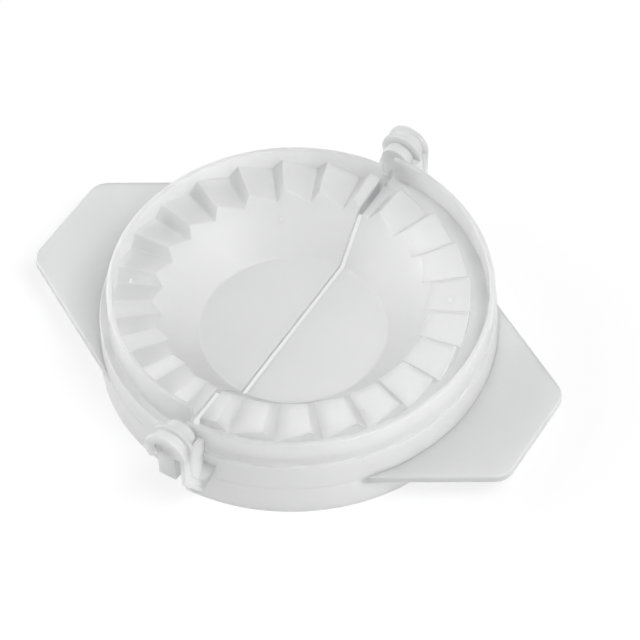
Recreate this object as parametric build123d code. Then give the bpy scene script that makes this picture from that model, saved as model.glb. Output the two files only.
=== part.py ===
from build123d import *
import math
import os

# Empanada press: two moulded D-shaped halves, lying open and flat side by side.
# The hinge line runs along Y above x = 0, with the hook half on +X and the pin
# half on -X. Z = 0 is the table, and all sizes are in millimetres.

# ---- driving dimensions -------------------------------------------------------
WALL = 1.2                 # thickness of the moulded shell
SPLIT_GAP = 1.2            # space between the straight edges of the two halves
SIDE_CLEAR = 0.3           # gap between parts that pass each other
EDGE_ROUND = 0.35          # rounding along the top of the lip and the rim

# hook half, the larger one: its lip closes round the outside of the pin half
LIP_R = 43.0               # outside radius of the lip
SEAT_Z = 15.3              # top of the seat ring above the table
LIP_RISE = 5.4             # height of the lip above the seat
HOOK_STEP_DROP = 1.3       # depth of the outside step below the seat
HOOK_STEP = 0.6            # width of that step
HOOK_FLARE = 0.9           # how much wider the skirt is on the table than at the step

# pin half, the smaller one: its rim closes inside the lip
RIM_PLAY = 2.5             # gap between the closed rim and the lip round it
RIM_GAP = 0.3              # gap between the closed rim and the seat
LIP_GAP = 2.7              # gap between the closed lip and the outside step
PIN_STEP = 1.9             # width of that step
PIN_FLARE = 0.6            # how much wider the skirt is on the table than at the step

# bowl, the same in both halves
FLOOR_Z = 5.8              # top of the flat floor above the table
BOWL_SLOPE = 1.234         # rise of the bowl's wall for each millimetre outwards

# teeth: gentle facets climb from a valley to a peak, then a steep one drops
TOOTH_PITCH = 15.0         # degrees from one peak to the next
STEEP_SPAN = 3.5           # degrees taken by the steep side of a tooth
TOOTH_PHASE = 7.0          # azimuth in degrees of one peak of the hook half
PEAK_RISE = 2.8            # height of a peak above the level valleys at its outer end
VALLEY_RUN = 9.8           # length of a valley along the radius, in to the bowl's wall
DOUGH_GAP = 3.2            # space between the closed teeth
PLAIN_BAND = 0.5           # plain wall on the toothed ring, inside the valleys

# handles
HANDLE_LENGTH = 16.3       # how far the straight end edge stands out past the lip
HANDLE_WIDTH = 25.4        # length of that edge, corner to corner
HANDLE_CORNER = 5.0        # radius of the two outer corners
HANDLE_TOP_Z = 7.6         # top of the plate above the table
HANDLE_THICK = 2.0
HANDLE_SINK = 0.1          # how far the side edges run into the pin half's skirt

# knuckles at both ends of the hinge line
PIN_R = 2.6
PIN_FIT = 0.06             # radial running clearance of the hook on its pin
PIN_INSET = 0.5            # how far the pin stops short of the hook's outer face
HOOK_WALL = 1.34           # thickness of the hook round its bore
HOOK_LENGTH = 3.8          # along the hinge line
HOOK_SWEEP = 222.0         # degrees of the pin that the hook goes round
RIB_COUNT = 2              # ribs round each hook
RIB_RISE = 0.9             # height of a rib above the hook
RIB_THICK = 1.0            # along the hinge line
ARM_FOOT_Z = 2.0           # lowest point of the arm, on the skirt
ARM_HEEL_Z = 10.4          # height of the arm's outer bottom corner
GUSSET_TOP_Z = 12.5        # top of the gusset between the arm and the skirt
GUSSET_WIDTH = 3.3         # reach of the gusset along the skirt
GUSSET_DEPTH = 1.5         # reach of the gusset along the arm, from the foot of the skirt
LUG_THICK = 2.6            # along the hinge line
LUG_EDGE = 0.8             # width of the lug's rounded eye outside the root of the pin
LUG_REACH = 4.9            # distance of the lug's far side from the hinge line
LUG_FOOT_Z = 4.0           # bottom of the foot that joins the lug to the skirt
LUG_FOOT_DROP = 0.7        # top of the foot below the pin half's outside step

# ---- sizes that follow --------------------------------------------------------
HALF_GAP = SPLIT_GAP / 2
LIP_IN_R = LIP_R - WALL
RIM_R = LIP_IN_R - RIM_PLAY                        # outside radius of the rim
RIM_IN_R = RIM_R - WALL
TOOTH_END_R = RIM_IN_R - SIDE_CLEAR                # the hook half's teeth stop inside the rim
VALLEY_R = TOOTH_END_R - VALLEY_RUN                # where the valleys meet the bowl's wall
BOWL_R = VALLEY_R - PLAIN_BAND                     # where the toothed ring begins
HOOK_BASE_R = LIP_R + HOOK_STEP + HOOK_FLARE       # outside radii of the skirts on the table
PIN_BASE_R = RIM_R + PIN_STEP + PIN_FLARE
HANDLE_X = LIP_R + HANDLE_LENGTH

PEAK_Z = SEAT_Z + PEAK_RISE                        # the valleys are as high as the seat
AXIS_Z = (SEAT_Z + PEAK_Z + DOUGH_GAP) / 2         # height of the hinge axis above the table
LIP_Z = SEAT_Z + LIP_RISE
RIM_Z = 2 * AXIS_Z - SEAT_Z - RIM_GAP              # closed, z becomes 2 * AXIS_Z - z
HOOK_STEP_Z = SEAT_Z - HOOK_STEP_DROP
PIN_STEP_Z = 2 * AXIS_Z - LIP_Z - LIP_GAP
FLOOR_R = VALLEY_R - (SEAT_Z - FLOOR_Z) / BOWL_SLOPE
BOWL_DROP = WALL * math.hypot(1, BOWL_SLOPE)       # thickness of the sloping wall, upright

LUG_Y = LIP_R + SIDE_CLEAR                         # inner face of the lugs
PIN_Y = LUG_Y + LUG_THICK                          # root of the pins
HOOK_Y = PIN_Y + SIDE_CLEAR                        # inner face of the hooks
END_Y = HOOK_Y + HOOK_LENGTH                       # outer face of the hooks
BORE_R = PIN_R + PIN_FIT
HOOK_R = BORE_R + HOOK_WALL                        # outside radius of the hook between its ribs
RIB_R = HOOK_R + RIB_RISE
LUG_R = PIN_R + LUG_EDGE
ARM_X = LUG_R + SIDE_CLEAR                         # inner face of the arms
LUG_FOOT_TOP_Z = PIN_STEP_Z - LUG_FOOT_DROP

HOOK, PIN = 1, -1                                  # the sign of x on each half
REACH = 2 * HANDLE_X                               # past every wall, for the cutting blocks


# ---- general helpers ----------------------------------------------------------
def ring(corners):
    """Body of revolution about Z from corners given as (radius, z)."""
    outline = Polyline(*[(radius, 0, z) for radius, z in corners], close=True)
    return revolve(make_face(outline), Axis.Z)


def keep_half(solid, side):
    """The part of a solid that lies on one side of the split."""
    block = Box(REACH, REACH, REACH, align=(Align.MIN, Align.CENTER, Align.CENTER))
    block = Pos(HALF_GAP, 0, 0) * block
    if side == PIN:
        block = mirror(block, Plane.YZ)
    return solid & block


def across(outline, y_from, y_to):
    """Slab between two places on the hinge line from a face drawn in (x, z)."""
    return extrude(Plane.XZ.offset(-y_to) * outline, y_to - y_from)


def at_end(solid, end):
    """A knuckle piece drawn at the rear end, moved to the named end."""
    return solid if end == "rear" else mirror(solid, Plane.XZ)


# ---- walls --------------------------------------------------------------------
def bowl_z(radius):
    """Height of the bowl's sloping wall at a radius."""
    return FLOOR_Z + BOWL_SLOPE * (radius - FLOOR_R)


def skirt_r(z, base_r, step_r, step_z):
    """Outside radius of a skirt at a height."""
    return base_r + (step_r - base_r) * z / step_z


def upright_wall(outer_r, bottom, top, side):
    """Upright half ring, rounded along its top."""
    inner_r = outer_r - WALL
    corners = [(inner_r, bottom), (outer_r, bottom), (outer_r, top), (inner_r, top)]
    section = make_face(Polyline(*[(radius, 0, z) for radius, z in corners], close=True))
    upper = section.vertices().group_by(Axis.Z)[-1]
    return keep_half(revolve(fillet(upper, EDGE_ROUND), Axis.Z), side)


def skirt(top_r, step, step_z, base_r, side):
    """Stepped wall from under the lip or rim down to the table."""
    under_z = step_z - WALL
    under_r = skirt_r(under_z, base_r, top_r + step, step_z) - WALL
    corners = [(top_r, step_z), (top_r + step, step_z), (base_r, 0),
               (base_r - WALL, 0), (under_r, under_z), (top_r, under_z)]
    return keep_half(ring(corners), side)


def outside_volume(side):
    """Everything within the outside surface of a half, from the table up."""
    if side == HOOK:
        corners = [(0, 0), (HOOK_BASE_R, 0), (LIP_R + HOOK_STEP, HOOK_STEP_Z),
                   (LIP_R, HOOK_STEP_Z), (LIP_R, LIP_Z), (0, LIP_Z)]
    else:
        corners = [(0, 0), (PIN_BASE_R, 0), (RIM_R + PIN_STEP, PIN_STEP_Z),
                   (RIM_R, PIN_STEP_Z), (RIM_R, RIM_Z), (0, RIM_Z)]
    return ring(corners)


def seat():
    """Flat ring between the hook half's teeth and its lip."""
    low = SEAT_Z - WALL
    corners = [(TOOTH_END_R, low), (LIP_IN_R, low), (LIP_IN_R, SEAT_Z), (TOOTH_END_R, SEAT_Z)]
    return keep_half(ring(corners), HOOK)


def bowl_floor(side):
    """Flat half disc at the bottom of the bowl."""
    low = FLOOR_Z - WALL
    return keep_half(ring([(0, low), (FLOOR_R, low), (FLOOR_R, FLOOR_Z), (0, FLOOR_Z)]), side)


def bowl_wall(side):
    """Sloping wall between the floor and the toothed ring."""
    top = bowl_z(BOWL_R)
    low = FLOOR_Z - WALL
    corner_r = FLOOR_R + (BOWL_DROP - WALL) / BOWL_SLOPE
    corners = [(FLOOR_R, low), (corner_r, low), (BOWL_R, top - BOWL_DROP), (BOWL_R, top),
               (FLOOR_R, FLOOR_Z)]
    return keep_half(ring(corners), side)


# ---- teeth --------------------------------------------------------------------
def tooth_lines(side):
    """Crease lines as (azimuth, rise at the outer end), in order round the half.

    The pin half's creases are the hook half's turned over about the hinge, so
    that each peak of one half closes onto a valley of the other.
    """
    first = -math.ceil(90 / TOOTH_PITCH) - 1
    lines = []
    for index in range(first, -first + 1):
        azimuth = TOOTH_PHASE + index * TOOTH_PITCH
        if side == HOOK:
            lines += [(azimuth, PEAK_RISE), (azimuth + STEEP_SPAN, 0)]
        else:
            lines += [(180 - azimuth, 0), (180 - azimuth - STEEP_SPAN, PEAK_RISE)]
    return sorted(lines)


def crease_corners(line):
    """Corners of the upright section under a crease, round the section.

    Every crease runs out from one point on the Z axis, so the facets are flat.
    """
    azimuth, rise = line
    angle = math.radians(azimuth)
    inner_z, outer_z = (SEAT_Z + rise * radius / TOOTH_END_R for radius in (FLOOR_R, LIP_R))
    section = [(FLOOR_R, 0), (LIP_R, 0), (LIP_R, outer_z), (FLOOR_R, inner_z)]
    return [(r * math.cos(angle), r * math.sin(angle), z) for r, z in section]


def flat_face(*points):
    """Flat face through points in order."""
    return Face(Wire.make_polygon([Vector(*point) for point in points], close=True))


def toothed_block(side):
    """Solid block whose top is the faceted surface of the teeth."""
    sections = [crease_corners(line) for line in tooth_lines(side)]
    faces = [flat_face(*sections[0]), flat_face(*sections[-1])]
    for (a_low, a_foot, a_out, a_in), (b_low, b_foot, b_out, b_in) in zip(sections, sections[1:]):
        faces.append(flat_face(a_low, a_foot, b_foot, b_low))
        faces.append(flat_face(a_foot, a_out, b_out, b_foot))
        faces.append(flat_face(a_low, a_in, b_in, b_low))
        faces.append(flat_face(a_in, a_out, b_out, b_in))
    return Solid(Shell(faces))


def teeth(side):
    """Toothed ring of one half, as thick as the rest of the shell."""
    block = toothed_block(side)
    shell_end_r = TOOTH_END_R - WALL if side == HOOK else RIM_IN_R
    corners = [(BOWL_R, 0), (shell_end_r, 0),
               (shell_end_r, bowl_z(shell_end_r)), (BOWL_R, bowl_z(BOWL_R))]
    inside = ring(corners)
    shell = (block & inside) - (Pos(0, 0, -WALL) * block & Pos(0, 0, -BOWL_DROP) * inside)
    if side == HOOK:
        shell += block & end_wall_ring(shell_end_r)
    return keep_half(shell, side)


def end_wall_ring(inner_r):
    """Ring that closes the outer ends of the hook half's teeth down to the seat."""
    low = SEAT_Z - WALL
    return ring([(inner_r, low), (TOOTH_END_R, low), (TOOTH_END_R, RIM_Z), (inner_r, RIM_Z)])


# ---- handles ------------------------------------------------------------------
def handle(side):
    """Flat grip plate whose side edges run in to touch the pin half's skirt."""
    root_r = skirt_r(HANDLE_TOP_Z, PIN_BASE_R, RIM_R + PIN_STEP, PIN_STEP_Z) - HANDLE_SINK
    corner_y = HANDLE_WIDTH / 2
    azimuth = math.atan2(corner_y, HANDLE_X) + math.acos(root_r / math.hypot(HANDLE_X, corner_y))
    root_x = root_r * math.cos(azimuth)
    root_y = root_r * math.sin(azimuth)
    corners = [(HANDLE_X, -corner_y), (HANDLE_X, corner_y), (root_x, root_y), (root_x, -root_y)]
    outline = make_face(Polyline(*corners, close=True))
    outline = fillet(outline.vertices().group_by(Axis.X)[-1], HANDLE_CORNER)
    plate = extrude(Pos(0, 0, HANDLE_TOP_Z - HANDLE_THICK) * outline, HANDLE_THICK)
    if side == PIN:
        plate = mirror(plate, Plane.YZ)
    return plate - outside_volume(side)


# ---- hinge knuckles -----------------------------------------------------------
def lug(end):
    """Upright plate on the pin half that carries a pin, with its foot."""
    side_view = [(-HALF_GAP, LUG_FOOT_Z), (-HALF_GAP, AXIS_Z), (-LUG_R, AXIS_Z),
                 (-LUG_REACH, LUG_FOOT_TOP_Z), (-LUG_REACH, LUG_FOOT_Z)]
    eye = Pos(0, AXIS_Z) * Circle(LUG_R)
    plate = across(make_face(Polyline(*side_view, close=True)) + eye, LUG_Y, PIN_Y)
    foot = Box(LUG_REACH - HALF_GAP, PIN_Y, LUG_FOOT_TOP_Z - LUG_FOOT_Z,
               align=(Align.MAX, Align.MIN, Align.MIN))
    foot = Pos(-HALF_GAP, 0, LUG_FOOT_Z) * foot
    return at_end(plate + (foot - outside_volume(PIN)), end)


def pin(end):
    """Round pin that stands out from a lug."""
    return at_end(across(Pos(0, AXIS_Z) * Circle(PIN_R), PIN_Y, END_Y - PIN_INSET), end)


def hook_arc(outer_r, y_from, y_to):
    """Part of a ring round the pin, from the arm over the top and down."""
    centre = (0, AXIS_Z)
    outer = CenterArc(centre, outer_r, 0, HOOK_SWEEP)
    inner = CenterArc(centre, BORE_R, 0, HOOK_SWEEP)
    edges = [outer, Line(outer @ 1, inner @ 1), inner, Line(inner @ 0, outer @ 0)]
    return across(make_face(Curve() + edges), y_from, y_to)


def hook(end):
    """Open hook that snaps over a pin, with ribs round it."""
    body = hook_arc(HOOK_R, HOOK_Y, END_Y)
    spacing = (HOOK_LENGTH - RIB_THICK) / (RIB_COUNT - 1)
    for index in range(RIB_COUNT):
        start = HOOK_Y + index * spacing
        body += hook_arc(RIB_R, start, start + RIB_THICK)
    return at_end(body, end)


def gusset():
    """Three-sided brace in the corner between the rear arm and the skirt."""
    foot = (RIB_R, HOOK_BASE_R, ARM_FOOT_Z)
    front = (RIB_R, HOOK_BASE_R + GUSSET_DEPTH, (ARM_FOOT_Z + GUSSET_TOP_Z) / 2)
    inner = (RIB_R, LIP_IN_R, GUSSET_TOP_Z)
    outer = (RIB_R + GUSSET_WIDTH, LIP_R, GUSSET_TOP_Z)
    faces = [flat_face(foot, front, inner), flat_face(foot, front, outer),
             flat_face(front, inner, outer), flat_face(foot, inner, outer)]
    return Solid(Shell(faces))


def arm(end):
    """Upright arm on the hook half's skirt that carries a hook, with its gusset."""
    side_view = [(0, ARM_FOOT_Z), (HOOK_BASE_R, ARM_FOOT_Z), (END_Y, ARM_HEEL_Z),
                 (END_Y, AXIS_Z), (0, AXIS_Z)]
    outline = make_face(Polyline(*side_view, close=True))
    block = extrude(Plane.YZ.offset(ARM_X) * outline, RIB_R - ARM_X)
    return at_end((block + gusset()) - outside_volume(HOOK), end)


# ---- assembly -----------------------------------------------------------------
def build_parts():
    """Every piece by its node name."""
    parts = {
        "hook_half_lip": upright_wall(LIP_R, HOOK_STEP_Z - WALL, LIP_Z, HOOK),
        "hook_half_seat": seat(),
        "hook_half_skirt": skirt(LIP_R, HOOK_STEP, HOOK_STEP_Z, HOOK_BASE_R, HOOK),
        "pin_half_rim": upright_wall(RIM_R, PIN_STEP_Z - WALL, RIM_Z, PIN),
        "pin_half_skirt": skirt(RIM_R, PIN_STEP, PIN_STEP_Z, PIN_BASE_R, PIN),
    }
    for name, side in (("hook_half", HOOK), ("pin_half", PIN)):
        parts[f"{name}_floor"] = bowl_floor(side)
        parts[f"{name}_bowl"] = bowl_wall(side)
        parts[f"{name}_teeth"] = teeth(side)
        parts[f"{name}_handle"] = handle(side)
    for end in ("front", "rear"):
        parts[f"{end}_lug"] = lug(end)
        parts[f"{end}_pin"] = pin(end)
        parts[f"{end}_arm"] = arm(end)
        parts[f"{end}_hook"] = hook(end)
    return parts


os.makedirs("parts", exist_ok=True)
for node, piece in build_parts().items():
    export_step(piece, f"parts/{node}.step")
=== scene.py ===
"""Looks of a hinged empanada press of translucent polypropylene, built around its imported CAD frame.

The hinge line runs along Y. The hook half lies on +X, the pin half on -X, and the table is z = 0.
Shapes are worked out in millimetres in the frame's own place, and turned into metres as they
become meshes.
"""

import logging
import math
from dataclasses import dataclass, field
from enum import Enum

import bmesh
import bpy
import numpy as np
from mathutils import Matrix, Vector

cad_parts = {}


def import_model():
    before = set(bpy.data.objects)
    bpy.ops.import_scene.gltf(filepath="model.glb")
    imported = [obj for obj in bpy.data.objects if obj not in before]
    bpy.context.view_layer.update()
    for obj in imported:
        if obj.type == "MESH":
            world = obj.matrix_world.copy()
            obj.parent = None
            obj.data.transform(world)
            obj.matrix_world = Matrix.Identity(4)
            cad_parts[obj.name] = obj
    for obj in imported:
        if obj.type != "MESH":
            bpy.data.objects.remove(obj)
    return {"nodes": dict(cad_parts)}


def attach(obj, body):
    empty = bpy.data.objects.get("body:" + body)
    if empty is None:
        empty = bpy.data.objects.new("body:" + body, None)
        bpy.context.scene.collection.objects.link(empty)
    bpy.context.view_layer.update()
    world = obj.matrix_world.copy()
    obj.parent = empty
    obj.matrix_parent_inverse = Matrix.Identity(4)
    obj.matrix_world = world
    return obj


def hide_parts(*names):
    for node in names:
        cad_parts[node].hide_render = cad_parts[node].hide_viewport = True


log = logging.getLogger("empanada_press")

MM = 0.001
MERGE_DISTANCE = 2e-7         # metres below which two points of a mesh are one
CREASE = 40.0                 # degrees between two faces past which their edge is sharp
ARC_STEPS = 3                 # pieces that a rounded edge is cut into

# the surface's patterns, in metres and in cells for each metre
CLOUD_SCALE = 70.0
FLOW_SCALE = 110.0
FLOW_STRETCH = (1.0, 2.6, 1.4)
GRAIN_SCALE = 2600.0
WAVE_HEIGHT = 0.0004
GRAIN_HEIGHT = 0.00006
NOISE_BAND = (0.3, 0.7)       # where most values of a noise texture lie
# Painted shade on the bowls' flat floor: its colour is multiplied darker, as if less lit, and the
# darkening fades out over these edges.
FLOOR_FADE_R = (19.9, 20.35)  # millimetres of radius over which the floor's shade ends
FLOOR_FADE_Z = (5.9, 6.3)     # millimetres of height over which it ends

# the shells, in millimetres and degrees
CREASE_ROUND = 0.35           # degrees each side of a crease that its rounding takes
CREASE_SAMPLES = 9            # samples over that rounding
LAST_COLUMN = 86.6            # degrees from the middle of a half to its last plain column
EVEN_COLUMNS = 117            # evenly spaced columns of a half
COLUMN_GAP = 0.3              # degrees that an even column keeps from a crease's cluster
CUT_EDGE = 0.15               # rounding along the straight cut of each half
FLOOR_RUN = 8.0               # how far the section's open ends reach in over the floor
LINE_LEDGE = (0.1, 0.06)      # width and drop of the fine ledge round the skirt


class Half(Enum):
    """The two mouldings, by the sign of x on their side of the hinge line."""

    HOOK = 1
    PIN = -1

    @property
    def body(self) -> str:
        """Name of the CAD body that the half's pieces ride on."""
        return "hook_half" if self is Half.HOOK else "pin_half"


class End(Enum):
    """The two ends of the hinge line, by the sign of y."""

    FRONT = -1
    REAR = 1

    @property
    def label(self) -> str:
        """Word that the end's pieces begin with."""
        return self.name.lower()


# ---- curves and surfaces --------------------------------------------------------------------
def unit(vectors: np.ndarray) -> np.ndarray:
    """Scale vectors to length 1 along the last axis, and leave zero vectors at zero.

    Args:
        vectors: array whose last axis holds the components.

    Returns:
        Array of the same shape.
    """
    length = np.linalg.norm(vectors, axis=-1, keepdims=True)
    return vectors / np.where(length > 1e-12, length, 1.0)


def rounded_loop(corners: np.ndarray, radii: np.ndarray, steps: int) -> np.ndarray:
    """Replace every corner of closed loops by a parabolic arc.

    Each corner P turns by an angle a. The arc starts and ends radius * tan(a / 2) away from P,
    or 0.45 of the shorter neighbouring edge if that is less, and runs between those points A and C
    as (1 - t)^2 A + 2 t (1 - t) P + t^2 C.

    Args:
        corners: loops as an array (loops, corners, 2).
        radii: rounding radius of each corner.
        steps: pieces that each arc is cut into.

    Returns:
        Array (loops, corners * (steps + 1), 2).
    """
    back = np.roll(corners, 1, axis=1) - corners
    ahead = np.roll(corners, -1, axis=1) - corners
    back_dir, ahead_dir = unit(back), unit(ahead)
    cosine = np.clip(-(back_dir * ahead_dir).sum(-1), -0.98, 1.0)
    half_turn = np.sqrt((1 - cosine) / (1 + cosine))
    shorter = np.minimum(np.linalg.norm(back, axis=-1), np.linalg.norm(ahead, axis=-1))
    cut = np.minimum(radii[None, :] * half_turn, 0.45 * shorter)[..., None]
    first, last = corners + back_dir * cut, corners + ahead_dir * cut
    t = np.linspace(0, 1, steps + 1)[:, None]
    arcs = ((1 - t) ** 2 * first[:, :, None] + 2 * t * (1 - t) * corners[:, :, None]
            + t ** 2 * last[:, :, None])
    return arcs.reshape(len(corners), -1, 2)


def loop_normals(loop: np.ndarray) -> np.ndarray:
    """Outward unit normals of closed loops that run anticlockwise.

    The tangent at a point is the mean of the two unit edges beside it, and the normal is that
    tangent turned a quarter turn clockwise, lengthened at a corner so that the sides move evenly.

    Args:
        loop: array (..., points, 2).

    Returns:
        Array of the same shape.
    """
    edge_in = unit(loop - np.roll(loop, 1, axis=-2))
    edge_out = unit(np.roll(loop, -1, axis=-2) - loop)
    tangent = unit(edge_in + edge_out)
    normal = np.stack([tangent[..., 1], -tangent[..., 0]], axis=-1)
    square = np.stack([edge_out[..., 1], -edge_out[..., 0]], axis=-1)
    return normal / np.clip((normal * square).sum(-1, keepdims=True), 0.6, 1.0)


def quarter(steps: int) -> np.ndarray:
    """Angles from 0 to a quarter turn, both included."""
    return np.linspace(0, math.pi / 2, steps + 1)


def grid_faces(rows: int, columns: int, close_columns: bool) -> np.ndarray:
    """Quads that join neighbouring rows of points.

    Args:
        rows: number of rows.
        columns: points in each row.
        close_columns: whether the last point of a row joins its first.

    Returns:
        Array (faces, 4) of point numbers.
    """
    row = np.arange(rows - 1)[:, None] * columns
    column = np.arange(columns if close_columns else columns - 1)[None, :]
    following = (column + 1) % columns
    quads = np.stack([row + column, row + following, row + columns + following,
                      row + columns + column], axis=-1)
    return quads.reshape(-1, 4)


def lofted(rings: np.ndarray) -> tuple[np.ndarray, list]:
    """Closed surface through a stack of closed rings, with a flat face on both ends.

    Args:
        rings: points as an array (rings, points, 3), in millimetres.

    Returns:
        The points as one list and the faces.
    """
    count, points = rings.shape[:2]
    faces = grid_faces(count, points, True).tolist()
    faces.append(list(range(points))[::-1])
    faces.append(list(range((count - 1) * points, count * points)))
    return rings.reshape(-1, 3), faces


def slab(outline: np.ndarray, low: float, high: float, edge: float, steps: int = 3,
         share: np.ndarray | None = None) -> np.ndarray:
    """Rings of a flat plate with rounded edges.

    The outline moves inwards by edge * (1 - sin a) as the depth goes from the face to
    edge * (1 - cos a) inside it, for a from 0 to a quarter turn.

    Args:
        outline: closed anticlockwise outline (points, 2).
        low, high: the two faces along the plate's thickness.
        edge: radius of the rounded edges.
        steps: pieces of each rounding.
        share: how much of the rounding each point takes, all of it if not given.

    Returns:
        Array (rings, points, 3) with the thickness along the last component.
    """
    inward = -loop_normals(outline)
    if share is not None:
        inward = inward * share[:, None]
    turn = quarter(steps)
    inset, depth = edge * (1 - np.sin(turn)), edge * (1 - np.cos(turn))
    insets = np.concatenate([inset, inset[::-1]])
    heights = np.concatenate([low + depth, high - depth[::-1]])
    flat = outline[None] + inward[None] * insets[:, None, None]
    level = np.broadcast_to(heights[:, None, None], flat.shape[:2] + (1,))
    return np.concatenate([flat, level], axis=-1)


def spaced(loop: np.ndarray, gap: float) -> np.ndarray:
    """Add points to a closed loop so that no edge is longer than a gap, corners kept.

    Args:
        loop: closed loop (points, 2).
        gap: longest edge wanted.

    Returns:
        The loop with more points.
    """
    ahead = np.roll(loop, -1, axis=0)
    cuts = np.maximum(1, np.ceil(np.linalg.norm(ahead - loop, axis=1) / gap)).astype(int)
    start = np.repeat(np.arange(len(loop)), cuts)
    offset = np.arange(cuts.sum()) - np.repeat(np.cumsum(cuts) - cuts, cuts)
    share = (offset / cuts[start])[:, None]
    return loop[start] * (1 - share) + ahead[start] * share


def signed_volume(points: np.ndarray, faces: list) -> float:
    """Volume inside a closed surface, negative when its faces point inwards.

    Each face is cut into triangles from its first corner, and each triangle adds a sixth of the
    product of its three corners.

    Args:
        points: array (points, 3).
        faces: lists of point numbers.

    Returns:
        The signed volume.
    """
    quads = np.array([face for face in faces if len(face) == 4], dtype=int).reshape(-1, 4)
    fans = [np.array([[face[0], face[i], face[i + 1]] for i in range(1, len(face) - 1)])
            for face in faces if len(face) != 4]
    triangles = np.concatenate([quads[:, [0, 1, 2]], quads[:, [0, 2, 3]], *fans])
    a, b, c = (points[triangles[:, i]] for i in range(3))
    return float((a * np.cross(b, c)).sum() / 6)


def make_piece(name: str, points: np.ndarray, faces: list, finish: "Finish") -> bpy.types.Object:
    """Turn points and faces into a finished mesh object with soft, area-weighted normals.

    Args:
        name: the piece's name.
        points: array (points, 3) in millimetres.
        faces: lists of point numbers.
        finish: what the piece is dressed in.

    Returns:
        The new object, at the origin.
    """
    if signed_volume(points, faces) < 0:
        faces = [face[::-1] for face in faces]
    mesh = bpy.data.meshes.new(name)
    mesh.from_pydata((points * MM).tolist(), [], faces)
    tidy_mesh(mesh)
    weigh_normals(mesh)
    mesh.materials.append(finish.material())
    piece = bpy.data.objects.new(name, mesh)
    bpy.context.scene.collection.objects.link(piece)
    return piece


def tidy_mesh(mesh: bpy.types.Mesh) -> None:
    """Merge points that coincide, and drop the faces that this leaves without area.

    Args:
        mesh: the mesh to clean.
    """
    work = bmesh.new()
    work.from_mesh(mesh)
    bmesh.ops.remove_doubles(work, verts=work.verts, dist=MERGE_DISTANCE)
    bmesh.ops.dissolve_degenerate(work, edges=work.edges, dist=MERGE_DISTANCE)
    work.to_mesh(mesh)
    work.free()
    mesh.update()


def weigh_normals(mesh: bpy.types.Mesh) -> None:
    """Give each corner the area-weighted mean normal of the faces that run smoothly into its own.

    At a point, two faces run smoothly into each other when their normals are less than CREASE
    degrees apart. Large flat faces so keep their own direction to their very edge, narrow rounded
    strips between them turn, and sharp edges stay sharp.

    Args:
        mesh: the mesh to shade.
    """
    count, loops = len(mesh.polygons), len(mesh.loops)
    normals = np.zeros(count * 3)
    areas = np.zeros(count)
    sizes = np.zeros(count, dtype=np.int64)
    points = np.zeros(loops, dtype=np.int64)
    mesh.polygons.foreach_get("normal", normals)
    mesh.polygons.foreach_get("area", areas)
    mesh.polygons.foreach_get("loop_total", sizes)
    mesh.loops.foreach_get("vertex_index", points)
    normals = np.repeat(normals.reshape(-1, 3), sizes, axis=0)
    areas = np.repeat(areas, sizes)
    order = np.argsort(points, kind="stable")
    valence = np.bincount(points, minlength=len(mesh.vertices))
    first = np.cumsum(valence) - valence
    partners = valence[points[order]]
    own = np.repeat(order, partners)
    place = np.arange(partners.sum()) - np.repeat(np.cumsum(partners) - partners, partners)
    other = order[np.repeat(first[points[order]], partners) + place]
    smooth = (normals[own] * normals[other]).sum(-1) > math.cos(math.radians(CREASE))
    total = np.zeros((loops, 3))
    np.add.at(total, own, normals[other] * (areas[other] * smooth)[:, None])
    mesh.shade_smooth()
    mesh.normals_split_custom_set(unit(total).tolist())


# ---- finishes -------------------------------------------------------------------------------
class NodeBuilder:
    """Short ways to add and join shader nodes in one tree."""

    def __init__(self, tree: bpy.types.NodeTree) -> None:
        """Keep the tree that the nodes go into."""
        self.tree = tree

    def add(self, kind: str, **settings: object) -> bpy.types.Node:
        """Add a node and set its plain properties.

        Args:
            kind: the node's type name.
            settings: property names and values.

        Returns:
            The new node.
        """
        node = self.tree.nodes.new(kind)
        for key, value in settings.items():
            setattr(node, key, value)
        return node

    def join(self, source: bpy.types.NodeSocket, target: bpy.types.NodeSocket) -> None:
        """Link an output socket to an input socket."""
        self.tree.links.new(source, target)

    def noise(self, vector: bpy.types.NodeSocket, scale: float, detail: float) -> bpy.types.Node:
        """Add a noise texture on a coordinate socket.

        Args:
            vector: where the texture reads its place from.
            scale: cells for each metre.
            detail: octaves.

        Returns:
            The noise node.
        """
        node = self.add("ShaderNodeTexNoise")
        node.inputs["Scale"].default_value = scale
        node.inputs["Detail"].default_value = detail
        self.join(vector, node.inputs["Vector"])
        return node

    def span(self, value: bpy.types.NodeSocket, low: bpy.types.NodeSocket | float,
             high: bpy.types.NodeSocket | float) -> bpy.types.Node:
        """Map a noise value from its usual spread to a range between two numbers.

        Args:
            value: the noise value, mostly inside NOISE_BAND.
            low, high: ends of the range, as numbers or sockets.

        Returns:
            The map range node.
        """
        node = self.add("ShaderNodeMapRange")
        node.inputs["From Min"].default_value = NOISE_BAND[0]
        node.inputs["From Max"].default_value = NOISE_BAND[1]
        self.join(value, node.inputs["Value"])
        for name, end in (("To Min", low), ("To Max", high)):
            if isinstance(end, bpy.types.NodeSocket):
                self.join(end, node.inputs[name])
            else:
                node.inputs[name].default_value = end
        return node


# Mask of the painted shade that darkens the bowls' flat floor.
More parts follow.
